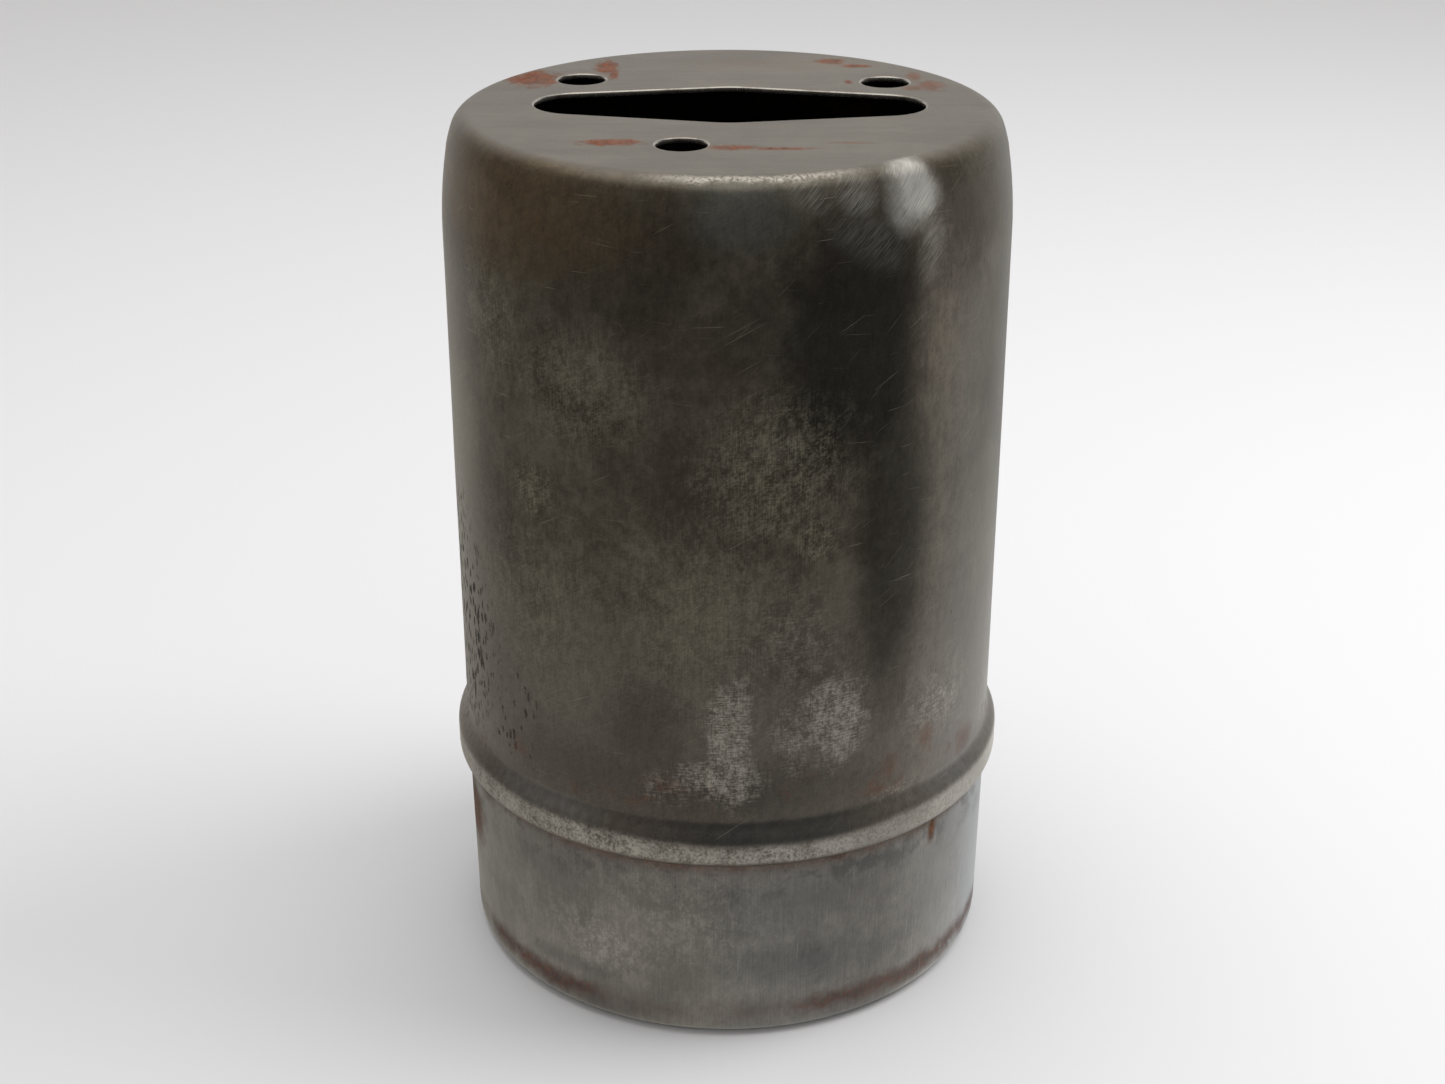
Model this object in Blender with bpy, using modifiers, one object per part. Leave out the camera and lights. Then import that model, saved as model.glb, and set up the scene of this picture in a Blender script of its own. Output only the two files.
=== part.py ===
"""Free-standing diaphragm expansion vessel with a vented upper casing.

Two drawn steel shells meet at a rolled bead low on the body. The bead grips the thick rim of a rubber
diaphragm, a steel ring backs that rim from inside, and a riveted button stiffens the middle of the rubber.
Water comes in through a connector in the recess under the base; the space above the rubber is open to the
air through a slot and three holes in the crown.

Metres, +Z up, origin at the centre of the base on the floor. Profiles are (radius, height) points.
"""

import math

import bmesh
import bpy

# Casing
WALL_R = 0.100
HEIGHT = 0.3185
SHEET = 0.002
FIT_GAP = 0.0003
SEGMENTS = 48
FITTING_SEGMENTS = 32

# Shoulder: three arcs that follow on from each other, from the flat crown to the straight wall, each with
# the angle of its tangent below horizontal at its two ends
SHOULDER_ARCS = (
    (0.00747, 0, 70, 5),
    (0.047, 70, 80, 1),
    (0.162, 80, 90, 2),
)

# Bead: the upper shell's edge, swollen and rolled in under the lower shell's rim
BEAD_TOP = 0.0918
BEAD_CREST_TOP = 0.0840
BEAD_CREST_LOW = 0.0785
BEAD_BOTTOM = 0.0742
BEAD_PROUD = 0.0035
LIP_R = 0.1002
LIP_FLAT = 0.0010

# Lower shell
RIM_TOP = 0.0822
RIM_R = 0.1011
RIM_FLARE_TOP = 0.0795
RIM_FLARE_LOW = 0.0770
SKIRT_TOP_R = 0.09985
SKIRT_LOW_R = 0.0988
CORNER_R = 0.0067
FOOT_INNER_R = 0.0845
RECESS_CORNER_R = 0.004
RECESS_WALL_R = 0.079
RECESS_Z = 0.028
PANEL_CORNER_R = 0.005

# Openings in the crown
SLOT_CENTRE = (0.0008, 0.0028)
SLOT_TURN = -0.019
SLOT_MIDDLE_R = 0.02565
SLOT_END_R = 0.01535
SLOT_END_X = 0.0525
HOLE_R = 0.0085
HOLE_SEGMENTS = 24
HOLE_CENTRES = ((-0.0527, 0.0400), (0.0567, 0.0360), (-0.0149, -0.0520))
CUTTER_REACH = 0.010

# Diaphragm: wet face below, dry face above, RUBBER apart. From its thick rim it goes down behind the ring,
# folds inwards under the ring's edge, so that it clears the ring when it lifts, and dips to a flat middle.
RUBBER = 0.002
PANEL_TOP = RECESS_Z + SHEET
DIAPHRAGM_Z = 0.0367
DIAPHRAGM_RIM_R = 0.1008
DIAPHRAGM_RIM_TOP = 0.0866
RIM_CHAMFER = 0.002
DIAPHRAGM_INNER_R = 0.0935
TUCK_Z = 0.0754
TUCK_R = 0.0014
TUCK_RUN = 0.0003
FOLD_R = 0.003
DISH_WALL_LOW = 0.060
DIAPHRAGM_FLAT_R = 0.0735
PIVOT_HOLE_R = 0.0045

# Ring inside the diaphragm's rim
RING_SHEET = 0.0015
RING_OUTER_R = 0.0930
RING_FLANGE_R = 0.0972
RING_LOW = 0.0775

# Button riveted to the middle of the diaphragm
WASHER_R = 0.020
WASHER_SHEET = 0.0015
DISC_R = 0.026
DISC_SHEET = 0.0018
DISC_LIP = 0.002
DISC_BEND = 0.0008
SHANK_R = 0.0042
RIVET_HEAD_R = 0.008
RIVET_HEAD_H = 0.0038
RIVET_TAIL_R = 0.0075
RIVET_TAIL_H = 0.003
RIVET_TAIL_CHAMFER = 0.0015
RIVET_SEGMENTS = 24

# Water connector, a three-quarter inch pipe thread held by a back nut
PORT_HOLE_R = 0.0137
SPIGOT_R = 0.0132
BORE_R = 0.0095
SPIGOT_LOW = 0.0035
SPIGOT_CHAMFER = 0.001
FLANGE_R = 0.020
FLANGE_H = 0.003
GASKET_H = 0.001
PLATE_WASHER_R = 0.019
PLATE_WASHER_H = 0.0015
NUT_FLATS = 0.036
NUT_H = 0.008
NUT_BORE_R = 0.0136


def clear_scene():
    for obj in list(bpy.data.objects):
        bpy.data.objects.remove(obj, do_unlink=True)


def new_collection(name):
    collection = bpy.data.collections.new(name)
    bpy.context.scene.collection.children.link(collection)
    return collection


def new_material(name, colour, roughness, metallic):
    material = bpy.data.materials.new(name)
    material.use_nodes = True
    shader = material.node_tree.nodes["Principled BSDF"]
    shader.inputs["Base Color"].default_value = (*colour, 1.0)
    shader.inputs["Roughness"].default_value = roughness
    shader.inputs["Metallic"].default_value = metallic
    return material


def turned(name, profile, closed, collection, segments=SEGMENTS):
    """A profile turned once about Z. An open profile runs down the outer side; a closed one is a section."""
    mesh = bpy.data.meshes.new(name)
    edges = [(i, i + 1) for i in range(len(profile) - 1)]
    if closed:
        edges.append((len(profile) - 1, 0))
    mesh.from_pydata([(r, 0.0, z) for r, z in profile], edges, [])
    obj = bpy.data.objects.new(name, mesh)
    collection.objects.link(obj)
    screw = obj.modifiers.new("turn", "SCREW")
    screw.axis = "Z"
    screw.steps = screw.render_steps = segments
    screw.use_merge_vertices = True
    screw.merge_threshold = 0.00001
    screw.use_smooth_shade = True
    return obj


def add_thickness(obj, sheet):
    solidify = obj.modifiers.new("sheet", "SOLIDIFY")
    solidify.thickness = sheet
    solidify.offset = -1.0
    solidify.use_even_offset = True


def cut(obj, cutter):
    boolean = obj.modifiers.new("cut_" + cutter.name, "BOOLEAN")
    boolean.operation = "DIFFERENCE"
    boolean.solver = "EXACT"
    boolean.object = cutter


def paint(obj, material):
    obj.data.materials.append(material)


def hide_cutter(obj):
    obj.hide_render = True
    obj.display_type = "WIRE"


def cylinder(name, radius, low, high, centre, collection, segments):
    mesh = bpy.data.meshes.new(name)
    shape = bmesh.new()
    bmesh.ops.create_cone(
        shape,
        cap_ends=True,
        segments=segments,
        radius1=radius,
        radius2=radius,
        depth=high - low,
    )
    shape.to_mesh(mesh)
    shape.free()
    obj = bpy.data.objects.new(name, mesh)
    obj.location = (centre[0], centre[1], (low + high) / 2)
    collection.objects.link(obj)
    return obj


def cut_bore(obj, name, radius, low, high, centre, cutters, segments):
    """Cuts a round hole through obj, from CUTTER_REACH below low to CUTTER_REACH above high."""
    reach = (low - CUTTER_REACH, high + CUTTER_REACH)
    cutter = cylinder(name, radius, *reach, centre, cutters, segments)
    hide_cutter(cutter)
    cut(obj, cutter)


def arc(centre, radius, start, end, steps):
    """Points on an arc, in degrees, both ends included."""
    return [
        (
            centre[0] + radius * math.cos(math.radians(start + (end - start) * i / steps)),
            centre[1] + radius * math.sin(math.radians(start + (end - start) * i / steps)),
        )
        for i in range(steps + 1)
    ]


def slot_outline():
    """The hull of a middle circle and two smaller end circles, as arcs that meet on their tangent lines."""
    lean = math.degrees(math.acos((SLOT_MIDDLE_R - SLOT_END_R) / SLOT_END_X))
    return (
        arc((SLOT_END_X, 0), SLOT_END_R, -lean, lean, 10)
        + arc((0, 0), SLOT_MIDDLE_R, lean, 180 - lean, 4)
        + arc((-SLOT_END_X, 0), SLOT_END_R, 180 - lean, 180 + lean, 10)
        + arc((0, 0), SLOT_MIDDLE_R, 180 + lean, 360 - lean, 4)
    )


def slot_cutter(collection):
    """The slot's outline as a flat curve, extruded through the crown and made a mesh."""
    curve = bpy.data.curves.new("slot_outline", "CURVE")
    curve.dimensions = "2D"
    curve.fill_mode = "BOTH"
    curve.extrude = CUTTER_REACH
    spline = curve.splines.new("POLY")
    outline = slot_outline()
    spline.points.add(len(outline) - 1)
    for point, (x, y) in zip(spline.points, outline):
        point.co = (x, y, 0.0, 1.0)
    spline.use_cyclic_u = True
    guide = bpy.data.objects.new("slot_outline", curve)
    guide.location = (*SLOT_CENTRE, HEIGHT)
    guide.rotation_euler = (0.0, 0.0, SLOT_TURN)
    collection.objects.link(guide)
    bpy.context.view_layer.update()
    graph = bpy.context.evaluated_depsgraph_get()
    mesh = bpy.data.meshes.new_from_object(guide.evaluated_get(graph))
    shape = bmesh.new()
    shape.from_mesh(mesh)
    bmesh.ops.remove_doubles(shape, verts=shape.verts, dist=0.000001)
    shape.to_mesh(mesh)
    shape.free()
    cutter = bpy.data.objects.new("slot_cutter", mesh)
    cutter.matrix_world = guide.matrix_world.copy()
    collection.objects.link(cutter)
    bpy.data.objects.remove(guide, do_unlink=True)
    hide_cutter(cutter)
    return cutter


def shoulder_points():
    """From the edge of the flat crown, out and down to the straight wall."""
    run = sum(
        rho * (math.sin(math.radians(end)) - math.sin(math.radians(start)))
        for rho, start, end, _ in SHOULDER_ARCS
    )
    r, z = WALL_R - run, HEIGHT
    points = [(r, z)]
    for rho, start, end, steps in SHOULDER_ARCS:
        for i in range(steps):
            a = math.radians(start + (end - start) * i / steps)
            b = math.radians(start + (end - start) * (i + 1) / steps)
            r += rho * (math.sin(b) - math.sin(a))
            z -= rho * (math.cos(a) - math.cos(b))
            points.append((r, z))
    return points


def bead_points():
    """The bead's outer side: a soft swell out of the wall, a straight crest and a lip rolled in below."""
    points = []
    swell = 4
    for i in range(swell + 1):
        t = i / swell
        proud = BEAD_PROUD * (1 - math.cos(math.pi * t)) / 2
        points.append((WALL_R + proud, BEAD_TOP + (BEAD_CREST_TOP - BEAD_TOP) * t))
    crest_r = WALL_R + BEAD_PROUD
    roll_r = LIP_R + LIP_FLAT
    roll = 3
    for i in range(roll + 1):
        a = math.pi / 2 * i / roll
        r = roll_r + (crest_r - roll_r) * math.cos(a)
        z = BEAD_CREST_LOW - (BEAD_CREST_LOW - BEAD_BOTTOM) * math.sin(a)
        points.append((r, z))
    points.append((LIP_R, BEAD_BOTTOM))
    return points


def build_upper_shell(parts, cutters, steel):
    profile = [(0.0, HEIGHT)] + shoulder_points() + bead_points()
    shell = turned("upper_shell", profile, False, parts)
    add_thickness(shell, SHEET)
    cut(shell, slot_cutter(cutters))
    for i, centre in enumerate(HOLE_CENTRES):
        name = "crown_hole_cutter_" + str(i + 1)
        cut_bore(shell, name, HOLE_R, HEIGHT - SHEET, HEIGHT, centre, cutters, HOLE_SEGMENTS)
    paint(shell, steel)


def build_lower_shell(parts, cutters, steel):
    corner_r = SKIRT_LOW_R - CORNER_R
    corner = arc((corner_r, CORNER_R), CORNER_R, 0, -90, 4)
    foot_edge = arc((FOOT_INNER_R, RECESS_CORNER_R), RECESS_CORNER_R, -90, -170, 3)
    panel_r = RECESS_WALL_R - PANEL_CORNER_R
    panel_edge = arc((panel_r, RECESS_Z - PANEL_CORNER_R), PANEL_CORNER_R, 10, 90, 3)
    profile = [
        (RIM_R, RIM_TOP),
        (RIM_R, RIM_FLARE_TOP),
        (SKIRT_TOP_R, RIM_FLARE_LOW),
        *corner,
        *foot_edge,
        *panel_edge,
        (0.0, RECESS_Z),
    ]
    shell = turned("lower_shell", profile, False, parts)
    add_thickness(shell, SHEET)
    cut_bore(shell, "port_cutter", PORT_HOLE_R, RECESS_Z, PANEL_TOP, (0, 0), cutters, SEGMENTS)
    paint(shell, steel)


def membrane_line(outwards):
    """The dry face's line from behind the ring down to the flat middle, moved outwards for the wet face."""
    wall_r = DIAPHRAGM_INNER_R - TUCK_R - TUCK_RUN - FOLD_R
    tuck = arc((DIAPHRAGM_INNER_R - TUCK_R, TUCK_Z + TUCK_R), TUCK_R + outwards, 0, -90, 3)
    fold = arc((wall_r + FOLD_R, TUCK_Z - FOLD_R), FOLD_R - outwards, 90, 180, 3)
    wide = wall_r - DIAPHRAGM_FLAT_R + outwards
    deep = DISH_WALL_LOW - DIAPHRAGM_Z - RUBBER + outwards
    dish = [
        (DIAPHRAGM_FLAT_R + wide * x, DISH_WALL_LOW + deep * z)
        for x, z in arc((0, 0), 1, 0, -90, 4)
    ]
    return tuck + fold + dish


def build_diaphragm(parts, rubber):
    """A rubber dish hanging from its rim, resting just above the base."""
    rim_low = RIM_TOP + FIT_GAP
    profile = [
        (DIAPHRAGM_RIM_R - RIM_CHAMFER, DIAPHRAGM_RIM_TOP),
        (DIAPHRAGM_RIM_R, DIAPHRAGM_RIM_TOP - RIM_CHAMFER),
        (DIAPHRAGM_RIM_R, rim_low),
        (DIAPHRAGM_INNER_R + 2 * RUBBER, rim_low),
        (DIAPHRAGM_INNER_R + RUBBER, RIM_TOP - RIM_CHAMFER),
        *membrane_line(RUBBER),
        (PIVOT_HOLE_R, DIAPHRAGM_Z),
        (PIVOT_HOLE_R, DIAPHRAGM_Z + RUBBER),
        *reversed(membrane_line(0)),
        (DIAPHRAGM_INNER_R, DIAPHRAGM_RIM_TOP),
    ]
    paint(turned("diaphragm", profile, True, parts), rubber)


def build_retaining_ring(parts, plated):
    """An angle-section hoop: it backs the diaphragm's rim and its flange lies on top."""
    flange_low = DIAPHRAGM_RIM_TOP + FIT_GAP
    flange_top = flange_low + RING_SHEET
    profile = [
        (RING_FLANGE_R, flange_top),
        (RING_FLANGE_R, flange_low),
        (RING_OUTER_R, flange_low),
        (RING_OUTER_R, RING_LOW),
        (RING_OUTER_R - RING_SHEET, RING_LOW),
        (RING_OUTER_R - RING_SHEET, flange_top),
    ]
    paint(turned("retaining_ring", profile, True, parts), plated)


def build_button(parts, plated):
    """Washer under the rubber, dished disc above it, and the rivet that grips both. The pieces travel
    together along Z, so their shared origin is an empty on that axis."""
    axis = bpy.data.objects.new("button_axis", None)
    axis.location = (0.0, 0.0, DIAPHRAGM_Z)
    parts.objects.link(axis)
    washer_top = -FIT_GAP
    washer_low = washer_top - WASHER_SHEET
    washer = [
        (WASHER_R, washer_top),
        (WASHER_R, washer_low),
        (PIVOT_HOLE_R, washer_low),
        (PIVOT_HOLE_R, washer_top),
    ]
    disc_low = RUBBER + FIT_GAP
    disc_top = disc_low + DISC_SHEET
    disc = [
        (DISC_R, disc_top + DISC_LIP),
        (DISC_R, disc_low + DISC_LIP),
        (DISC_R - DISC_LIP, disc_low),
        (PIVOT_HOLE_R, disc_low),
        (PIVOT_HOLE_R, disc_top),
        (DISC_R - DISC_LIP - DISC_BEND, disc_top),
        (DISC_R - DISC_SHEET, disc_top + DISC_LIP),
    ]
    head_low = disc_top + FIT_GAP
    dome = [
        (RIVET_HEAD_R * math.sin(a), head_low + RIVET_HEAD_H * math.cos(a))
        for a in (math.radians(22.5 * i) for i in range(5))
    ]
    tail_top = washer_low - FIT_GAP
    rivet = [
        *dome,
        (SHANK_R, head_low),
        (SHANK_R, tail_top),
        (RIVET_TAIL_R, tail_top),
        (RIVET_TAIL_R, tail_top - RIVET_TAIL_H / 2),
        (RIVET_TAIL_R - RIVET_TAIL_CHAMFER, tail_top - RIVET_TAIL_H),
        (0.0, tail_top - RIVET_TAIL_H),
    ]
    pieces = (
        turned("backing_washer", washer, True, parts, FITTING_SEGMENTS),
        turned("button_disc", disc, True, parts, FITTING_SEGMENTS),
        turned("button_rivet", rivet, False, parts, RIVET_SEGMENTS),
    )
    for piece in pieces:
        piece.parent = axis
        paint(piece, plated)


def build_connector(parts, cutters, brass, plated, fibre):
    """Flanged spigot through the base, sealed inside by a gasket and drawn down by a nut outside."""
    gasket_low = PANEL_TOP + FIT_GAP
    gasket_top = gasket_low + GASKET_H
    gasket = [
        (FLANGE_R, gasket_top),
        (FLANGE_R, gasket_low),
        (PORT_HOLE_R, gasket_low),
        (PORT_HOLE_R, gasket_top),
    ]
    paint(turned("connector_gasket", gasket, True, parts, FITTING_SEGMENTS), fibre)

    flange_low = gasket_top + FIT_GAP
    flange_top = flange_low + FLANGE_H
    body = [
        (FLANGE_R, flange_top),
        (FLANGE_R, flange_low),
        (SPIGOT_R, flange_low),
        (SPIGOT_R, SPIGOT_LOW + SPIGOT_CHAMFER),
        (SPIGOT_R - SPIGOT_CHAMFER, SPIGOT_LOW),
        (BORE_R, SPIGOT_LOW),
        (BORE_R, flange_top),
    ]
    paint(turned("connector_body", body, True, parts, FITTING_SEGMENTS), brass)

    washer_top = RECESS_Z - FIT_GAP
    washer_low = washer_top - PLATE_WASHER_H
    washer = [
        (PLATE_WASHER_R, washer_top),
        (PLATE_WASHER_R, washer_low),
        (PORT_HOLE_R, washer_low),
        (PORT_HOLE_R, washer_top),
    ]
    paint(turned("connector_washer", washer, True, parts, FITTING_SEGMENTS), plated)

    nut_top = washer_low - FIT_GAP
    nut_low = nut_top - NUT_H
    corner_r = NUT_FLATS / 2 / math.cos(math.pi / 6)
    nut = cylinder("back_nut", corner_r, nut_low, nut_top, (0, 0), parts, 6)
    cut_bore(nut, "nut_bore_cutter", NUT_BORE_R, nut_low, nut_top, (0, 0), cutters, FITTING_SEGMENTS)
    paint(nut, brass)


def main():
    clear_scene()
    parts = new_collection("expansion_vessel")
    cutters = new_collection("cutters")
    steel = new_material("worn_steel", (0.16, 0.15, 0.14), 0.42, 0.9)
    plated = new_material("plated_steel", (0.55, 0.54, 0.50), 0.35, 1.0)
    brass = new_material("brass", (0.62, 0.45, 0.18), 0.35, 1.0)
    rubber = new_material("black_rubber", (0.02, 0.02, 0.02), 0.75, 0.0)
    fibre = new_material("gasket_fibre", (0.28, 0.07, 0.04), 0.8, 0.0)
    build_upper_shell(parts, cutters, steel)
    build_lower_shell(parts, cutters, steel)
    build_diaphragm(parts, rubber)
    build_retaining_ring(parts, plated)
    build_button(parts, plated)
    build_connector(parts, cutters, brass, plated, fibre)


main()
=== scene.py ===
"""Expansion vessel: the looks. Fine meshes and worn-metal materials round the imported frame.

Heights and radii are in metres, in the frame's own coordinates. On the casing a place is named by its
turn, in degrees round Z from the front (-Y) towards +X, and its height.
"""

import math

import bmesh
import bpy
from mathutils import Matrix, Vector, noise


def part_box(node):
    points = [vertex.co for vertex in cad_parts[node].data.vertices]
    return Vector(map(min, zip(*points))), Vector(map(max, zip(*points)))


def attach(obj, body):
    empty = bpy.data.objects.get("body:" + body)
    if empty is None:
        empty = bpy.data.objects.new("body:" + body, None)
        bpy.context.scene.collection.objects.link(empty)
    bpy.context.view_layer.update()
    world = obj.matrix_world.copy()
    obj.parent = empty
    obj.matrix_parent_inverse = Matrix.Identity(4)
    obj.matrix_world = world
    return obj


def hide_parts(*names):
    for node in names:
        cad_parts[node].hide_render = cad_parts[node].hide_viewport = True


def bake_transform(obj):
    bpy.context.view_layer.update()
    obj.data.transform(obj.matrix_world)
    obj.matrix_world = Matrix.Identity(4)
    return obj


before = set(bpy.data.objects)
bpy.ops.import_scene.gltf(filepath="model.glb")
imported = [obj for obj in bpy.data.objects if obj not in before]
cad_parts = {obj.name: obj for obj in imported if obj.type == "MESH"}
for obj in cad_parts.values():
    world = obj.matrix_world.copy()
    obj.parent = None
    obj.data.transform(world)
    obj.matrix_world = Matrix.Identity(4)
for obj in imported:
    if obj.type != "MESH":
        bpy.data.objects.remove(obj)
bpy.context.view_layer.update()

# ---- sizes, from the frame
UPPER_LOW, UPPER_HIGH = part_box("upper_shell")
LOWER_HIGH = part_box("lower_shell")[1]
RUBBER_LOW, RUBBER_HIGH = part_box("diaphragm")
RING_LOW, RING_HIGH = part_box("retaining_ring")
HEIGHT = UPPER_HIGH[2]
BEAD_PROUD = 0.0035
WALL_R = UPPER_HIGH[0] - BEAD_PROUD
SHEET = 0.002
FIT_GAP = 0.0003
BEAD_BOTTOM = UPPER_LOW[2]
RIM_TOP = LOWER_HIGH[2]
RIM_R = LOWER_HIGH[0]
SEGMENTS = 384

# Shoulder: radius, tangent at both ends in degrees below level, steps
SHOULDER_ARCS = ((0.00747, 0, 70, 14), (0.047, 70, 80, 5), (0.162, 80, 90, 6))
CROWN_SUPPORT = 0.002
BEAD_TOP = 0.0918
BEAD_CREST_TOP = 0.084
ROLL_R = 0.0033

# Crown openings
SLOT_CENTRE = Vector((0.0008, 0.0028))
SLOT_TURN = -0.019
SLOT_MIDDLE_R = 0.02565
SLOT_END_R = 0.01535
SLOT_END_X = 0.0525
HOLE_R = 0.0085
HOLE_CENTRES = ((-0.0527, 0.04), (0.0567, 0.036), (-0.0149, -0.052))
EDGE_R = 0.0008
EDGE_SUPPORT = 0.0016

# Lower shell
RIM_FLARE_TOP = 0.0795
RIM_FLARE_LOW = 0.077
SKIRT_TOP_R = 0.09985
SKIRT_LOW_R = 0.0988
CORNER_R = 0.0067
FOOT_INNER_R = 0.0845
FOOT_EDGE_R = 0.004
RECESS_WALL_R = 0.079
RECESS_Z = 0.028
PANEL_CORNER_R = 0.005
PORT_R = 0.0137

# Diaphragm and ring
RUBBER = 0.002
DISH_Z = RUBBER_LOW[2]
RUBBER_INNER_R = 0.0935
TUCK_R = 0.0014
TUCK_RUN = 0.0003
TUCK_DROP = 0.0021
FOLD_R = 0.003
DISH_WALL_LOW = 0.06
DISH_FLAT_R = 0.0735
PIVOT_HOLE_R = 0.0045
RIB_BAND = (0.03, 0.0715)
RIB_PITCH = 0.0055
RIB_HEIGHT = 0.0005
RING_SHEET = 0.0015
RING_OUTER_R = 0.093

# Button
DISC_SHEET = 0.0018
DISC_RING_R = 0.0155
DISC_RING_HALF = 0.0035
DISC_RING_H = 0.0009
RIVET_HEAD_H = 0.0038
RIVET_TAIL_H = 0.003
RIVET_TAIL_R = 0.0075
SHANK_R = 0.0042

# Water connector: three-quarter inch pipe thread
SPIGOT_R = 0.0132
BORE_R = 0.0095
FLANGE_H = 0.003
THREAD_PITCH = 0.001814
THREAD_DEPTH = 0.00116
THREAD_STEP = 0.00016
RELIEF = 0.0012
NUT_FLATS = 0.036
NUT_BORE_R = 0.0136
EASED = 0.0007

# Bump depth of worn steel, and the hollows and swellings of the handled wall: waves per metre and height
WEAR_DEPTH = 0.00022
SWELL_BROAD = (22, 0.00012)
SWELL_CLOSE = (60, 0.00005)
SWELL_SHIFT = 0.00008
SWELL_CLEAR = 0.012

# Studio: half the floor's side, and a camera at the photograph's viewing angle
FLOOR_HALF = 30
CAMERA_LENS_MM = 56.09
CAMERA_AT = (0, -0.7698, 0.50485)
CAMERA_TILT = 65.427
CAMERA_TURN = 0.0022


# ---- mesh tools
def arc(centre, radius, start, end, steps):
    """Points on an arc from one angle to another, in degrees, both ends included."""
    turns = [math.radians(start + (end - start) * i / steps) for i in range(steps + 1)]
    return [(centre[0] + radius * math.cos(a), centre[1] + radius * math.sin(a)) for a in turns]


def line(start, end, steps):
    """Points along a line, leaving out its start."""
    return [
        (start[0] + (end[0] - start[0]) * i / steps, start[1] + (end[1] - start[1]) * i / steps)
        for i in range(1, steps + 1)
    ]


def offset_path(path, distance):
    """The path moved to its right-hand side when it runs down an outer face, which is into the sheet."""
    moved = []
    for i, point in enumerate(path):
        before = Vector(path[max(i - 1, 0)])
        after = Vector(path[min(i + 1, len(path) - 1)])
        along = (after - before).normalized()
        moved.append((point[0] + along[1] * distance, point[1] - along[0] * distance))
    return moved


def ring_of(bm, radius, height, segments=SEGMENTS):
    turns = [2 * math.pi * i / segments for i in range(segments)]
    return [bm.verts.new((radius * math.cos(a), radius * math.sin(a), height)) for a in turns]


def bridge(bm, first, second, material=0):
    """Quads between two closed loops with the same number of points."""
    count = len(first)
    for i in range(count):
        j = (i + 1) % count
        face = bm.faces.new((first[i], second[i], second[j], first[j]))
        face.material_index = material
        face.smooth = True


def bridge_round(bm, loops, kinds=None):
    """Bridges each loop to the one before it, and the first to the last."""
    for i in range(len(loops)):
        bridge(bm, loops[i - 1], loops[i], kinds[i] if kinds else 0)


def fill_between(bm, loops, material=0):
    """A flat face field inside the first loop and outside the others."""
    edges = [bm.edges.get((loop[i - 1], loop[i])) for loop in loops for i in range(len(loop))]
    made = bmesh.ops.triangle_fill(bm, edges=edges, use_beauty=True)
    for face in (g for g in made["geom"] if isinstance(g, bmesh.types.BMFace)):
        face.material_index = material
        face.smooth = True


def new_object(name, data):
    obj = bpy.data.objects.new(name, data)
    bpy.context.scene.collection.objects.link(obj)
    return obj


def object_from(bm, name, materials, sharp_degrees=40):
    bmesh.ops.recalc_face_normals(bm, faces=bm.faces)
    mesh = bpy.data.meshes.new(name)
    bm.to_mesh(mesh)
    bm.free()
    mesh.set_sharp_from_angle(angle=math.radians(sharp_degrees))
    for material in materials:
        mesh.materials.append(material)
    return new_object(name, mesh)


def lathe(name, runs, materials, segments=SEGMENTS):
    """Runs of points that make one closed section, turned about Z. Each run takes the next material."""
    bm = bmesh.new()
    rings = []
    kinds = []
    for kind, run in enumerate(runs):
        rings += [ring_of(bm, r, z, segments) for r, z in run]
        kinds += [kind] * len(run)
    bridge_round(bm, rings, kinds)
    return object_from(bm, name, materials)


def rounded(corners, radius, steps=3):
    """The closed outline with each corner rounded off."""
    points = []
    for i, corner in enumerate(corners):
        here = Vector(corner)
        for side, other in ((0, corners[i - 1]), (1, corners[(i + 1) % len(corners)])):
            away = Vector(other) - here
            reach = min(radius, away.length * 0.45)
            if side == 0:
                start = here + away.normalized() * reach
            else:
                end = here + away.normalized() * reach
        for step in range(steps + 1):
            t = step / steps
            bent = start.lerp(here, t).lerp(here.lerp(end, t), t)
            points.append((bent[0], bent[1]))
    return points


def flat_ring(inner_r, low, high, edge):
    """The section of a flat ring that fills a node's box, with its edges rounded off."""
    corners = [(high[0], high[2]), (high[0], low[2]), (inner_r, low[2]), (inner_r, high[2])]
    return rounded(corners, edge)


def place(obj, body, slot, *nodes):
    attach(obj, body)
    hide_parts(*nodes)


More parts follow.
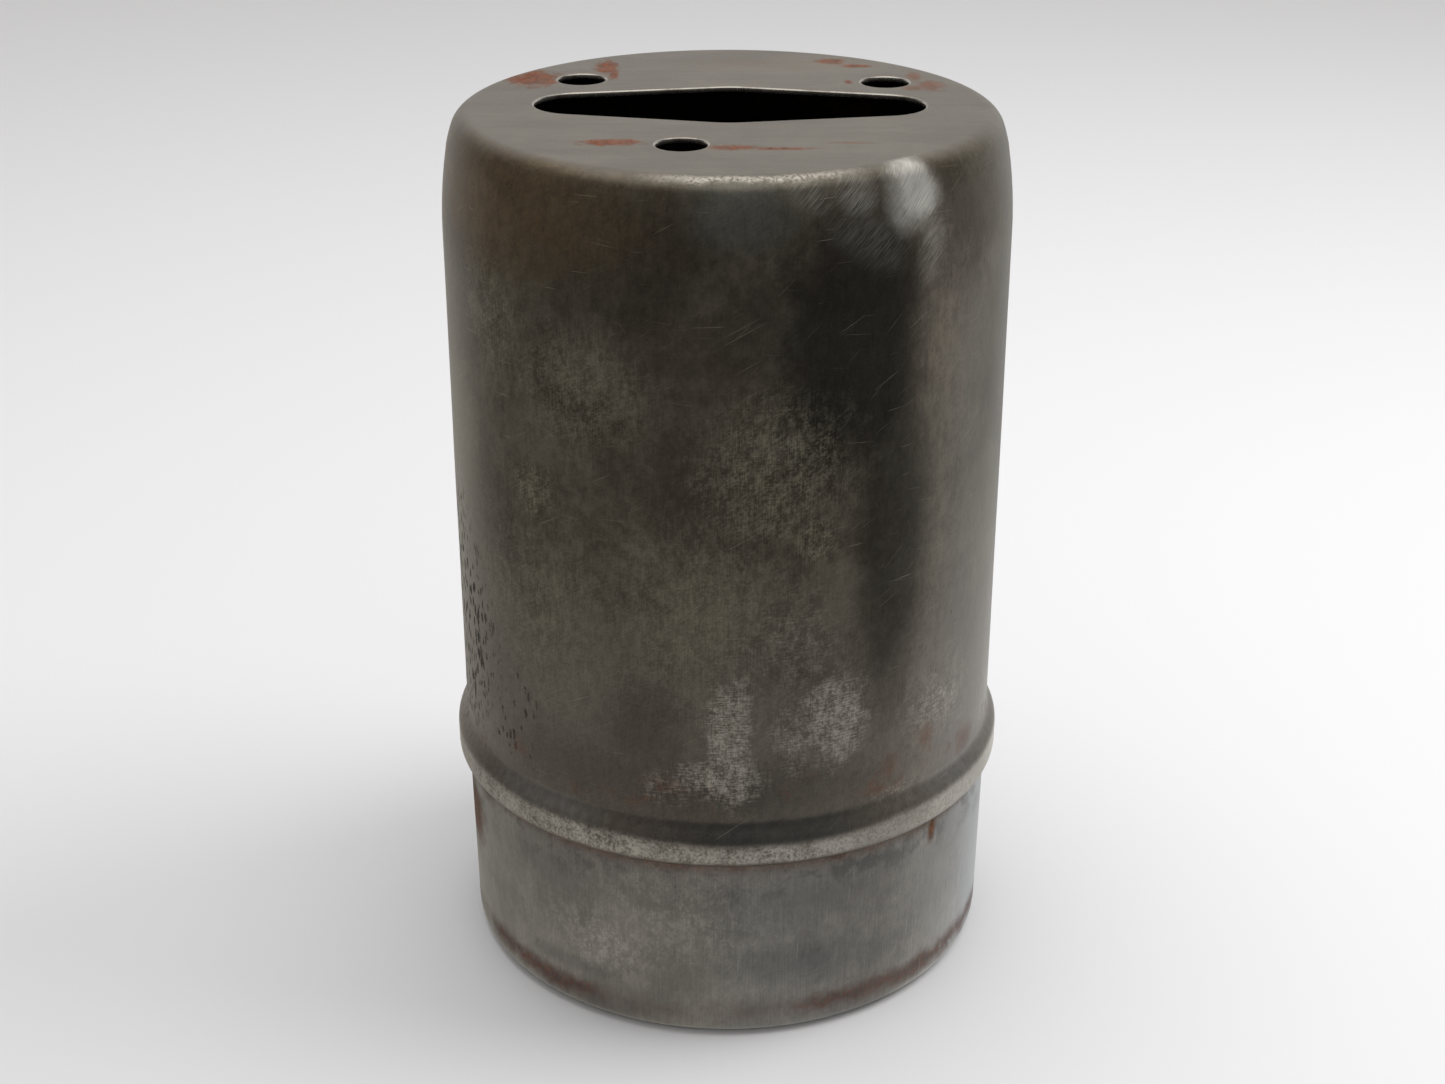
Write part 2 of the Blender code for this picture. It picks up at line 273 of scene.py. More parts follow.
# ---- material tools
class Nodes:
    """A node tree, with short calls for the arithmetic that the materials share."""

    def __init__(self, tree):
        self.tree = tree

    def join(self, value, socket):
        """Links a socket, or sets it to a number, a vector or an sRGB colour."""
        if isinstance(value, bpy.types.NodeSocket):
            self.tree.links.new(value, socket)
        elif socket.type == "RGBA":
            socket.default_value = [((c + 0.055) / 1.055) ** 2.4 for c in value] + [1]
        else:
            socket.default_value = value

    def node(self, kind, inputs=None, **settings):
        """Adds a node, makes its settings, joins its inputs and gives back its outputs."""
        node = self.tree.nodes.new("ShaderNode" + kind)
        for name, value in settings.items():
            setattr(node, name, value)
        for name, value in (inputs or {}).items():
            self.join(value, node.inputs[name])
        return node.outputs

    def math(self, operation, *values):
        return self.node("Math", dict(enumerate(values)), operation=operation)[0]

    def fold(self, operation, terms):
        """Joins terms by one operation, multiplying out any tuple first."""
        values = [self.times(*term) if isinstance(term, tuple) else term for term in terms]
        total = values[0]
        for value in values[1:]:
            total = self.math(operation, total, value)
        return total

    def plus(self, *terms):
        return self.fold("ADD", terms)

    def times(self, *terms):
        return self.fold("MULTIPLY", terms)

    def most(self, *terms):
        return self.fold("MAXIMUM", terms)

    def minus(self, a, b):
        return self.math("SUBTRACT", a, b)

    def swing(self, value, amount):
        """A noise's swing to either side of its middle, scaled by amount."""
        return self.times(self.minus(value, 0.5), amount)

    def length(self, x, y):
        return self.math("SQRT", self.plus((x, x), (y, y)))

    def step(self, value, low, high):
        """0 at low, 1 at high, smooth between; low may be the larger."""
        limits = (low, high, 0, 1) if low < high else (high, low, 1, 0)
        return self.node("MapRange", dict(enumerate((value, *limits))), interpolation_type="SMOOTHSTEP")[0]

    def band(self, value, low, high, soft):
        """1 between low and high, with each end spread over soft to both sides."""
        rise = self.step(value, low - soft, low + soft)
        return self.times(rise, self.step(value, high + soft, high - soft))

    def vector(self, x, y, z):
        return self.node("CombineXYZ", {0: x, 1: y, 2: z})[0]

    def scaled(self, vector, factors):
        return self.node("VectorMath", {0: vector, 1: factors}, operation="MULTIPLY")[0]

    def moved(self, vector, shift):
        return self.node("VectorMath", {0: vector, 1: shift}, operation="ADD")[0]

    def noise(self, vector, scale, detail=4, roughness=0.55, distortion=0):
        shape = {"Scale": scale, "Detail": detail, "Roughness": roughness, "Distortion": distortion}
        return self.node("TexNoise", {"Vector": vector, **shape})["Fac"]

    def strong(self, value):
        """Noise stretched to use the whole range from 0 to 1."""
        return self.step(value, 0.3, 0.7)

    def cells(self, vector, scale):
        """Distance to the nearest of scattered points, in cell widths."""
        return self.node("TexVoronoi", {"Vector": vector, "Scale": scale})["Distance"]

    def mix(self, factor, first, second):
        """A colour between first and second."""
        return self.node("Mix", {0: factor, 6: first, 7: second}, data_type="RGBA")[2]

    def layers(self, colour, *coats):
        """Lays coats over a colour, each a mask (or a tuple of masks to multiply) and a colour."""
        for mask, coat in coats:
            mask = self.times(*mask) if isinstance(mask, tuple) else mask
            colour = self.mix(mask, colour, coat)
        return colour

    def blend(self, factor, first, second):
        """A number between first and second."""
        return self.node("Mix", {0: factor, 2: first, 3: second})[0]

    def gain(self, colour, factor):
        """A colour made lighter or darker by a number."""
        return self.node("VectorMath", {0: colour, "Scale": factor}, operation="SCALE")[0]


class Paint(Nodes):
    """One material, with its shader and the object coordinates it is laid out in."""

    def __init__(self, name):
        self.material = bpy.data.materials.new(name)
        self.material.use_nodes = True
        super().__init__(self.material.node_tree)
        self.shader = self.tree.nodes["Principled BSDF"]
        self.place = self.node("TexCoord")["Object"]
        self.x, self.y, self.z = self.node("SeparateXYZ", {0: self.place})

    def finish(self, colour, roughness, metallic, height=None, depth=0.0002):
        for name, value in (("Base Color", colour), ("Roughness", roughness), ("Metallic", metallic)):
            self.join(value, self.shader.inputs[name])
        if height is not None:
            bump = self.node("Bump", {"Distance": depth, "Height": height})
            self.join(bump[0], self.shader.inputs["Normal"])
        return self.material


class Casing(Paint):
    """Paint for the round casing, which also knows the turn in degrees and the distance round the wall."""

    def __init__(self, name):
        super().__init__(name)
        angle = self.math("ARCTAN2", self.x, self.times(self.y, -1))
        self.turn = self.times(angle, 180 / math.pi)
        self.round = self.times(angle, WALL_R)
        self.reach = self.length(self.x, self.y)
        self.ragged = self.noise(self.place, 90, 6, 0.7)
        self.torn = self.noise(self.place, 210, 5, 0.72)
        self.off_seam = self.step(self.math("ABSOLUTE", self.turn), 176, 168)

    def splash(self, across, up, edge, soft, wild):
        """1 inside the unit circle of two measures, 0 outside, its edge made ragged by a noise."""
        far = self.length(across, up)
        return self.step(self.plus(far, self.swing(edge, wild)), 1 + soft, 1 - soft)

    def blob(self, across, up, half_across, half_up, soft, wild, flat=False):
        """A ragged-edged ellipse on the wall, or on the crown where flat."""
        first, second, edge = (self.x, self.y, self.torn) if flat else (self.turn, self.z, self.ragged)
        dx = self.math("DIVIDE", self.minus(first, across), half_across)
        dy = self.math("DIVIDE", self.minus(second, up), half_up)
        return self.splash(dx, dy, edge, soft, wild)

    def blobs(self, *rows, flat=False):
        """The most of several blobs. Each row is a blob's numbers and then its strength."""
        return self.most(*((self.blob(*row[:-1], flat), row[-1]) for row in rows))

    def patch(self, across, up, half_across, half_up, lean, soft, wild):
        """A blob on the wall that leans by so many degrees from upright; its sizes are taken at the wall."""
        a = math.radians(lean)
        dx = self.times(self.minus(self.turn, across), math.radians(1) * WALL_R)
        dy = self.minus(self.z, up)
        first = self.plus((dx, math.cos(a)), (dy, -math.sin(a)))
        second = self.plus((dx, math.sin(a)), (dy, math.cos(a)))
        first = self.math("DIVIDE", first, math.radians(half_across) * WALL_R)
        second = self.math("DIVIDE", second, half_up)
        return self.splash(first, second, self.ragged, soft, wild)

    def brush(self, slope, length, width, seed, detail=3, roughness=0.6):
        """Noise drawn out along lines that climb at slope degrees."""
        a = math.radians(slope)
        along = self.plus((self.round, math.cos(a)), (self.z, math.sin(a)))
        across = self.minus(self.times(self.z, math.cos(a)), self.times(self.round, math.sin(a)))
        drawn = self.vector(self.times(along, 1 / length), self.times(across, 1 / width), seed)
        return self.noise(drawn, 1, detail, roughness)

    def hairs(self, slope, length, width, level, seed):
        """Sparse fine lines that climb at slope degrees, as long and wide as given."""
        lines = self.step(self.brush(slope, length, width, seed, 1, 0.5), level, level + 0.05)
        return self.times(lines, self.off_seam)


# ---- casing materials
def outside_steel():
    """The upper shell's outer face: a light satin crown over a dark, handled wall."""
    p = Casing("worn_steel_upper")
    clouds = p.noise(p.place, 24, 5, 0.6, 0.4)
    patches = p.noise(p.moved(p.place, (3.1, 1.7, 0.4)), 60, 5, 0.65)
    mottle = p.strong(p.noise(p.scaled(p.place, (1, 1, 0.6)), 300, 6, 0.72))
    fine = p.strong(p.noise(p.place, 900, 4, 0.7))
    upright = p.strong(p.brush(88, 0.009, 0.00045, 5))
    level = p.strong(p.brush(3, 0.006, 0.00045, 9))
    leaning = p.strong(p.brush(33, 0.008, 0.0005, 15))
    hatch = p.strong(p.brush(42, 0.009, 0.0004, 3))
    grain = p.plus((upright, 0.4), (level, 0.25), (leaning, 0.35))

    wander = p.plus(p.swing(clouds, 0.01), p.swing(patches, 0.008))
    crown = p.step(p.plus(p.reach, wander, p.swing(p.ragged, 0.003)), 0.0948, 0.0874)
    worn = rubbed_metal(p, p.plus((fine, 0.3), (mottle, 0.3), (upright, 0.1), (level, 0.3)))
    ground = ground_metal(p, patches, hatch, leaning)
    edge_wear_and_highlight = crown_edge(p, patches, fine)
    up = p.plus(p.z, p.swing(p.ragged, 0.002))
    crest_wear_and_reflection, valley_painted_reflection, hollow_painted_reflection = bead_marks(p, up, clouds, patches, mottle, fine)
    hairs = p.times(wall_hairs(p), p.minus(1, crown))
    pits = corrosion_pits(p, patches, fine, crown)
    rust = upper_rust(p, patches, mottle, fine)

    colour = p.layers(
        wall_colour(p, clouds, patches, mottle, fine, grain),
        (crown, crown_colour(p, clouds, mottle)),
        ((worn, 0.88), (0.78, 0.765, 0.725)),
        # Painted reflection: paler grey at the far sides of the band above the bead.
        ((hollow_painted_reflection, p.blend(mottle, 0.25, 0.5)), (0.57, 0.57, 0.565)),
        # Painted reflection: the dark room's blue-black in the band above the bead.
        ((valley_painted_reflection, 0.58), (0.18, 0.196, 0.214)),
        # Worn bare top of the bead, made lighter as a painted reflection of the floor.
        ((crest_wear_and_reflection, 0.92), (0.81, 0.795, 0.76)),
        # Worn edge of the crown, lit as a painted highlight along the front.
        ((edge_wear_and_highlight, 0.85), (0.74, 0.715, 0.675)),
        (ground, (0.99, 0.985, 0.96)),
        ((hairs, 0.55), (0.7, 0.68, 0.58)),
        ((pits, 0.85), (0.105, 0.082, 0.062)),
        (rust, rust_colour(p, fine)),
        ((p.step(up, 0.0778, 0.075), p.blend(mottle, 0.6, 1), 0.85), (0.265, 0.205, 0.155)),
    )
    bare = p.most(crown, worn, crest_wear_and_reflection, ground)
    roughness = p.plus(p.blend(crown, 0.22, 0.29), (clouds, 0.12), (mottle, 0.06), (fine, 0.04))
    roughness = p.blend(p.most(rust, pits), roughness, 0.8)
    metallic = p.blend(p.most(rust, (pits, 0.8)), p.blend(bare, 0.56, 0.78), 0.1)
    height = p.plus(
        (mottle, 0.12), (fine, 0.08), (upright, 0.04), (leaning, 0.04), (clouds, 0.5),
        (hairs, -0.12), (hatch, ground, 0.12), (pits, -0.9), (rust, 0.15), (crest_wear_and_reflection, 0.25),
    )
    return p.finish(colour, roughness, metallic, height, WEAR_DEPTH)


def rubbed_metal(p, speck):
    """Metal rubbed bare in specks, low on the front."""
    rubbed = p.blobs(
        (0.5, 0.122, 4.5, 0.025, 0.45, 1.6, 1),
        (-1, 0.108, 8, 0.008, 0.6, 1.6, 1),
        (22, 0.129, 7, 0.017, 0.45, 1.6, 1),
        (13, 0.123, 4, 0.012, 0.7, 1.6, 0.7),
        (-12, 0.104, 5, 0.006, 0.7, 1.5, 0.6),
        (49, 0.122, 9, 0.012, 0.8, 1.5, 0.6),
        (15, 0.156, 8, 0.016, 0.9, 1.5, 0.4),
        (37, 0.093, 6, 0.0025, 0.9, 1.8, 0.6),
    )
    return p.times(rubbed, p.step(p.plus(speck, (p.minus(rubbed, 1), 0.25)), 0.22, 0.92))


def ground_metal(p, patches, hatch, leaning):
    """Metal ground bright on the right shoulder, with fainter skimmed places beside it."""
    skimmed = p.most(
        (p.patch(41.5, 0.293, 2.6, 0.009, 10, 0.9, 1.2), 0.22),
        (p.patch(25, 0.311, 4, 0.0055, 20, 0.8, 1.6), 0.28),
        (p.patch(16, 0.3125, 3.4, 0.004, 20, 0.9, 1.6), 0.18),
        (p.patch(27, 0.298, 7, 0.0065, 30, 0.9, 1.6), 0.11),
    )
    thin = p.step(p.plus(patches, (hatch, 0.6), (leaning, 0.3)), 0.72, 1.12)
    ground = p.most(
        (p.patch(37.5, 0.308, 6, 0.01, -14, 0.55, 1.2), 0.5),
        p.patch(38.5, 0.3095, 4.6, 0.009, -14, 0.5, 1.2),
        (skimmed, p.blend(thin, 0.35, 1)),
    )
    return p.times(ground, p.blend(hatch, 0.55, 1), p.step(p.reach, 0.087, 0.0905))


def crown_edge(p, patches, fine):
    """A bright broken line along the front of the crown's edge: worn metal, lit as a painted highlight on the
    front only.
    """
    edge_at = p.plus(p.reach, p.swing(p.ragged, 0.005))
    edge_wear_and_highlight = p.times(p.band(edge_at, 0.0902, 0.0926, 0.0012), p.band(p.turn, -12, 24, 9))
    return p.times(edge_wear_and_highlight, p.step(p.z, 0.3, 0.31), p.step(p.plus(fine, patches), 0.55, 1.15))


def bead_marks(p, up, clouds, patches, mottle, fine):
    """The bead's worn bare top, lightened as a painted reflection of the floor; the blue-black band above it,
    a painted reflection of the dark room in front; and that band's paler far sides, a painted reflection at
    grazing turns.
    """
    front = p.band(p.turn, -11, 29, 12)
    crest_top = p.blend(front, 0.0846, 0.0826)
    above = p.minus(up, crest_top)
    crest_wear_and_reflection = p.times(p.step(up, 0.0744, 0.078), p.step(above, 0.0018, -0.0018))
    bitten = p.step(p.plus((fine, 0.5), (mottle, 0.25), (patches, 0.7)), 0.34, 1.02)
    bitten = p.times(bitten, p.blend(p.step(p.plus(clouds, (patches, 0.6)), 0.62, 0.98), 0.62, 1))
    bitten = p.blend(p.times(p.step(p.turn, 6, 34), 0.55), bitten, 0.58)
    far_round = p.math("ABSOLUTE", p.turn)
    # Stronger towards the far sides: a painted reflection at grazing turns.
    share = p.most(p.blend(p.band(p.turn, -38, 30, 12), 0.66, 1), p.step(far_round, 60, 74))
    # Blue-black band above the bead, on the front only: a painted reflection of the dark room.
    valley_painted_reflection = p.times(p.step(above, -0.0004, 0.0024), p.step(up, 0.0928, 0.0898), front)
    # Paler far sides of the band above the bead: a painted reflection at grazing turns.
    sides = p.band(p.minus(far_round, p.times(p.turn, 0.2)), 34, 62, 10)
    return p.times(crest_wear_and_reflection, bitten, share), valley_painted_reflection, p.times(p.band(p.z, 0.086, 0.0915, 0.0022), sides)


def wall_hairs(p):
    """Fine scratches at several slopes, some fainter than others."""
    return p.most(
        (p.hairs(3, 0.02, 0.00036, 0.755, 11), 1),
        (p.hairs(-6, 0.03, 0.00034, 0.75, 23), 0.55),
        (p.hairs(29, 0.03, 0.00032, 0.742, 37), 0.75),
        (p.hairs(44, 0.02, 0.00032, 0.755, 43), 0.6),
        (p.hairs(-58, 0.014, 0.00034, 0.785, 51), 0.6),
        (p.hairs(84, 0.035, 0.00034, 0.765, 67), 0.4),
    )


def wall_colour(p, clouds, patches, mottle, fine, grain):
    """Brown-black to olive, greyer low down, with dark patches of patina and painted shade, painted
    reflection at the far sides, and pale clouds.
    """
    broad = p.noise(p.moved(p.place, (5.2, 0.6, 1.1)), 9, 3, 0.5)
    tone = p.plus(clouds, p.swing(broad, 0.6), p.swing(patches, 0.4), p.swing(mottle, 0.1))
    # Dark patches set by turn and height: partly dark patina, partly painted shade below the shoulder, above
    # the bead and right of the front.
    shade = p.blobs(
        (25, 0.264, 17, 0.05, 0.45, 1.1, 0.9),
        (8, 0.274, 14, 0.018, 0.7, 1.1, 0.55),
        (47, 0.283, 9, 0.022, 0.7, 1.1, 0.6),
        (12, 0.258, 9, 0.012, 0.7, 1.1, 0.35),
        (12, 0.16, 9, 0.03, 0.9, 1.1, 0.2),
        (-64, 0.298, 15, 0.026, 0.7, 1.1, 0.95),
        (10, 0.303, 11, 0.011, 0.7, 1.1, 0.5),
        (-70, 0.262, 14, 0.026, 0.8, 1.1, 0.3),
        (-28, 0.104, 18, 0.012, 0.8, 1.3, 0.4),
        (2, 0.103, 24, 0.012, 0.8, 1.3, 0.5),
        (34, 0.198, 9, 0.056, 0.5, 0.9, 0.78),
        (-20, 0.293, 24, 0.022, 0.5, 1.2, 0.55),
        (-7, 0.235, 7, 0.04, 0.7, 1.3, 0.25),
        (-16, 0.12, 8, 0.03, 0.6, 1.3, 0.3),
        (12, 0.104, 8, 0.01, 0.8, 1.3, 0.35),
    )
    clear = p.blobs(
        (9, 0.221, 13, 0.023, 0.6, 1.6, 0.85),
        (17, 0.197, 4, 0.009, 0.6, 1.6, 1),
        (-41, 0.207, 5, 0.009, 0.6, 1.6, 1),
        (-30, 0.246, 12, 0.016, 0.8, 1.6, 0.7),
        (-52, 0.265, 8, 0.02, 0.8, 1.6, 0.6),
        (-42, 0.165, 14, 0.03, 0.8, 1.6, 0.5),
        (-3, 0.172, 16, 0.03, 0.9, 1.6, 0.5),
    )
    sparse = p.step(p.plus((mottle, 0.3), (grain, 0.45), (fine, 0.25)), 0.32, 0.76)
    wall = p.layers(
        p.mix(p.step(tone, 0.33, 0.7), (0.335, 0.307, 0.262), (0.438, 0.42, 0.37)),
        ((p.step(p.plus(p.z, p.swing(clouds, 0.06)), 0.2, 0.11), 0.6), (0.44, 0.415, 0.388)),
        (shade, (0.165, 0.152, 0.133)),
        ((clear, sparse, 0.62), (0.59, 0.575, 0.5)),
        ((p.blob(2, 0.3085, 8, 0.01, 0.7, 1.2), 0.5), (0.38, 0.395, 0.385)),
        ((p.blob(-48, 0.303, 28, 0.022, 0.7, 1.2), 0.75, p.blend(mottle, 0.6, 1)), (0.42, 0.34, 0.24)),
        # Painted reflection: lighter cool grey at the far left side.
        ((p.blob(-74, 0.18, 18, 0.055, 0.8, 1), 0.45), (0.53, 0.52, 0.48)),
        # Painted reflection: a grey band and a lighter band on the right side.
        ((p.band(p.turn, 50, 60, 10), p.step(p.z, 0.29, 0.25), 0.45), (0.42, 0.42, 0.42)),
        ((p.band(p.turn, 70, 110, 10), p.step(p.z, 0.19, 0.24), 0.45), (0.56, 0.555, 0.535)),
        ((p.blob(46, 0.262, 7, 0.03, 0.8, 1.6), p.blend(mottle, 0.35, 0.85)), (0.48, 0.445, 0.4)),
    )
    return p.gain(wall, p.plus(0.6, (mottle, 0.17), (fine, 0.18), (grain, 0.35)))


def crown_colour(p, clouds, mottle):
    """Light satin grey, faintly streaked from side to side."""
    faint = p.strong(p.noise(p.scaled(p.place, (0.1, 1, 1)), 240, 4, 0.6))
    smear = p.strong(p.noise(p.scaled(p.place, (0.35, 1, 1)), 60, 4, 0.6, 0.5))
    tone = p.step(p.plus(clouds, p.swing(mottle, 0.15)), 0.3, 0.7)
    grey = p.mix(tone, (0.47, 0.45, 0.42), (0.52, 0.5, 0.468))
    grey = p.gain(grey, p.plus(0.84, (faint, 0.1), (smear, 0.14), (mottle, 0.06)))
    tan = p.times(p.blob(0.02, 0.066, 0.04, 0.008, 0.8, 1.4, True), 0.25)
    return p.mix(tan, grey, (0.48, 0.42, 0.35))


def corrosion_pits(p, patches, fine, crown):
    """Small upright pits, thick on the lower left and rare elsewhere."""
    spread = p.scaled(p.place, (1, 1, 0.42))
    left = p.blob(-76, 0.138, 20, 0.04, 0.5, 1.3)
    bite = p.plus(p.swing(fine, 0.2), p.swing(patches, -1))
    near = p.times(left, p.step(p.plus(p.cells(spread, 430), bite), 0.4, 0.2))
    middle = p.blob(-56, 0.118, 14, 0.022, 0.6, 1.4)
    fewer = p.times(middle, p.step(p.plus(p.cells(p.moved(spread, (0.1, 0.4, 0.2)), 340), bite), 0.24, 0.1))
    rare = p.times(p.step(p.cells(p.moved(spread, (0.3, 0.2, 0.1)), 150), 0.06, 0.03), 0.4)
    pits = p.most(near, (fewer, 0.9), (rare, p.step(p.z, 0.26, 0.16)))
    return p.times(pits, p.minus(1, crown))


def upper_rust(p, patches, mottle, fine):
    """Rust films on the crown and spots above the bead."""
    film = p.blobs(
        (-0.07, 0.041, 0.009, 0.012, 0.3, 1.9, 1),
        (-0.0445, 0.059, 0.004, 0.011, 0.35, 2, 1),
        (-0.0415, 0.047, 0.0018, 0.008, 0.45, 2, 1),
        (0.0385, 0.069, 0.005, 0.0045, 0.45, 2.2, 1),
        (0.0475, 0.0615, 0.0056, 0.0028, 0.5, 2.2, 1),
        (0.0675, 0.045, 0.0026, 0.006, 0.6, 1.2, 0.75),
        (0.0725, 0.03, 0.0045, 0.007, 0.5, 2.4, 0.75),
        (0.066, 0.0265, 0.004, 0.0035, 0.6, 2.4, 0.75),
        (0.0435, 0.036, 0.0014, 0.003, 0.6, 1, 1),
        (-0.0385, -0.0495, 0.0095, 0.0044, 0.35, 2.2, 1),
        (0.002, -0.056, 0.008, 0.003, 0.5, 2.2, 1),
        (0.018, -0.0575, 0.01, 0.0018, 0.6, 2.4, 1),
        (0.04, -0.05, 0.007, 0.0014, 0.7, 1.4, 0.45),
        flat=True,
    )
    film = p.times(film, p.step(p.z, HEIGHT - 0.002, HEIGHT - 0.001), p.blend(mottle, 0.65, 1))
    above = p.times(p.band(p.z, 0.0925, 0.106, 0.006), p.step(patches, 0.52, 0.66), p.blend(fine, 0.5, 1))
    spots = p.blobs(
        (35, 0.104, 2, 0.0042, 0.8, 2.4, 1),
        (45, 0.11, 1.8, 0.0036, 0.8, 2.4, 1),
        (31, 0.096, 3, 0.002, 0.8, 2.4, 1),
        (60, 0.098, 3.4, 0.0044, 0.8, 2.4, 1),
    )
    spots = p.times(spots, p.blend(fine, 0.4, 1))
    return p.most((film, 0.95), (above, 0.45), (spots, 0.4))


def rust_colour(p, fine):
    """Orange-brown, darker in grains."""
    tone = p.plus((p.noise(p.place, 260, 4, 0.7), 0.7), (fine, 0.3))
    return p.mix(p.step(tone, 0.35, 0.68), (0.3, 0.12, 0.012), (0.49, 0.222, 0.024))


def skirt_steel():
    """The lower shell's outer face: cooler mid grey, blotched, with rust at both its edges."""
    p = Casing("worn_steel_lower")
    clouds = p.noise(p.moved(p.place, (0.7, 2.2, 5)), 30, 5, 0.6, 0.3)
    patches = p.noise(p.moved(p.place, (1.9, 0.3, 2)), 85, 5, 0.68)
    mottle = p.strong(p.noise(p.scaled(p.place, (1, 1, 0.7)), 300, 6, 0.72))
    fine = p.strong(p.noise(p.place, 850, 4, 0.7))
    upright = p.strong(p.brush(90, 0.014, 0.0006, 5))
    leaning = p.strong(p.brush(52, 0.009, 0.00045, 8))
    tone = p.plus(clouds, p.swing(patches, 0.45), p.swing(mottle, 0.08))
    # Right side: lighter and bluer as a painted reflection, and also made more metallic.
    right = p.band(p.turn, 62, 130, 16)
    dull = p.times(p.band(p.z, 0.058, 0.076, 0.01), p.step(p.plus(patches, (mottle, 0.1)), 0.5, 0.66))
    pale = p.blobs(
        (-27, 0.034, 10, 0.01, 0.8, 1.7, 1),
        (-10, 0.052, 16, 0.018, 0.9, 1.7, 0.5),
    )
    pale = p.times(pale, p.step(p.plus((mottle, 0.6), (fine, 0.4)), 0.42, 0.7))
    dim = p.blobs(
        (14, 0.03, 13, 0.008, 0.8, 1.5, 1),
        (-36, 0.0205, 9, 0.003, 0.7, 1.4, 0.8),
        (8, 0.052, 10, 0.01, 0.8, 1.5, 0.5),
        (49, 0.042, 8, 0.024, 0.8, 1.2, 0.6),
    )
    scars = p.most(
        (p.hairs(86, 0.022, 0.00036, 0.73, 71), 0.8),
        (p.hairs(9, 0.014, 0.00034, 0.74, 83), 0.7),
    )
    rust = skirt_rust(p, patches, mottle, fine)
    colour = p.layers(
        p.mix(p.step(tone, 0.3, 0.7), (0.455, 0.446, 0.43), (0.55, 0.54, 0.518)),
        ((right, 0.7), (0.61, 0.63, 0.66)),
        ((dull, 0.65), (0.3, 0.298, 0.3)),
        ((pale, 0.34), (0.72, 0.715, 0.68)),
        ((dim, 0.45), (0.3, 0.305, 0.32)),
    )
    texture = p.plus((mottle, 0.1), (fine, 0.12), (upright, 0.2), (leaning, 0.12))
    colour = p.layers(
        p.gain(colour, p.plus(0.73, texture)),
        # Painted shadow: darker at the foot on the front left.
        ((p.step(p.z, 0.014, 0.007), p.band(p.turn, -44, -18, 8), 0.35), (0.22, 0.205, 0.195)),
        (rust, skirt_rust_colour(p, fine)),
        # Dark line just under the bead: dirt in the joint, and a painted shadow line.
        ((p.step(p.z, 0.0738, 0.0755), 0.8), (0.12, 0.088, 0.065)),
        # Painted shade: darker along the bottom where it meets the floor.
        ((p.step(p.z, 0.0022, 0.0005), 0.7), (0.14, 0.125, 0.115)),
        ((scars, 0.6), (0.72, 0.715, 0.69)),
    )

    roughness = p.plus(0.3, (clouds, 0.12), (mottle, 0.06), (fine, 0.04))
    roughness = p.blend(rust, roughness, 0.8)
    metallic = p.blend(rust, p.blend(right, 0.64, 0.8), 0.1)
    height = p.plus((mottle, 0.14), (fine, 0.08), (upright, 0.08), (clouds, 0.45))
    height = p.plus(height, (rust, 0.2), (scars, -0.15))
    return p.finish(colour, roughness, metallic, height, WEAR_DEPTH)


def skirt_rust(p, patches, mottle, fine):
    """A feathered band above the foot, dirt in the crevice under the bead, and a few runs."""
    wander = p.swing(p.ragged, 0.012)
    foot = p.band(p.plus(p.z, wander), 0.0072, 0.0142, 0.0035)
    amount = p.most(p.band(p.turn, 12, 82, 9), (p.band(p.turn, -66, -28, 6), 1.1), 0.4)
    foot = p.times(foot, amount, p.step(p.plus(patches, (amount, 0.18)), 0.42, 0.62))
    crevice = p.times(p.step(p.plus(p.z, (wander, 0.45)), 0.068, 0.0742), p.blend(mottle, 0.55, 1))
    runs = p.blobs(
        (48.5, 0.069, 1.2, 0.0055, 0.6, 1, 1),
        (23, 0.074, 2.5, 0.0028, 0.6, 1.3, 0.8),
        (-76, 0.052, 8, 0.012, 0.5, 1.6, 0.9),
        (-64, 0.073, 5, 0.005, 0.6, 1.6, 0.6),
    )
    return p.most((foot, p.blend(fine, 0.7, 1), 0.85), (crevice, 0.8), runs)


def skirt_rust_colour(p, fine):
    """Purple-brown at the foot, orange where it runs down from the crevice."""
    tone = p.plus((p.noise(p.place, 240, 4, 0.7), 0.7), (fine, 0.3))
    low = p.mix(p.step(tone, 0.36, 0.7), (0.245, 0.16, 0.13), (0.4, 0.225, 0.15))
    high = p.mix(p.step(tone, 0.36, 0.66), (0.29, 0.195, 0.13), (0.44, 0.285, 0.18))
    return p.mix(p.step(p.z, 0.018, 0.03), low, high)


def inside_steel():
    """Oil-brown bare steel inside both shells."""
    p = Paint("inside_steel")
    stain = p.noise(p.place, 45, 5, 0.65, 0.5)
    drawn = p.noise(p.scaled(p.place, (1, 1, 0.06)), 520, 3, 0.6)
    specks = p.noise(p.place, 700, 3, 0.7)
    colour = p.mix(p.step(stain, 0.35, 0.68), (0.15, 0.125, 0.105), (0.3, 0.255, 0.215))
    colour = p.gain(colour, p.blend(drawn, 0.8, 1.2))
    rust = p.times(p.step(p.plus(stain, p.swing(specks, 0.5)), 0.56, 0.7), 0.7)
    colour = p.mix(rust, colour, (0.33, 0.19, 0.125))
    roughness = p.plus(0.46, (specks, 0.3))
    height = p.plus((drawn, 0.3), (specks, 0.4))
    return p.finish(colour, roughness, p.blend(rust, 0.75, 0.1), height, 0.00015)


def cut_edge_steel():
    """The sheet's punched edges, rounded over and rubbed bright."""
    p = Paint("cut_edge_steel")
    grain = p.noise(p.scaled(p.place, (1, 1, 0.25)), 900, 3, 0.6)
    dirt = p.noise(p.place, 150, 4, 0.6)
    colour = p.mix(p.step(dirt, 0.45, 0.75), (0.76, 0.745, 0.715), (0.56, 0.53, 0.49))
    colour = p.gain(colour, p.blend(grain, 0.92, 1.06))
    roughness = p.plus(0.2, (grain, 0.12))
    return p.finish(colour, roughness, 0.95, grain, 0.00002)


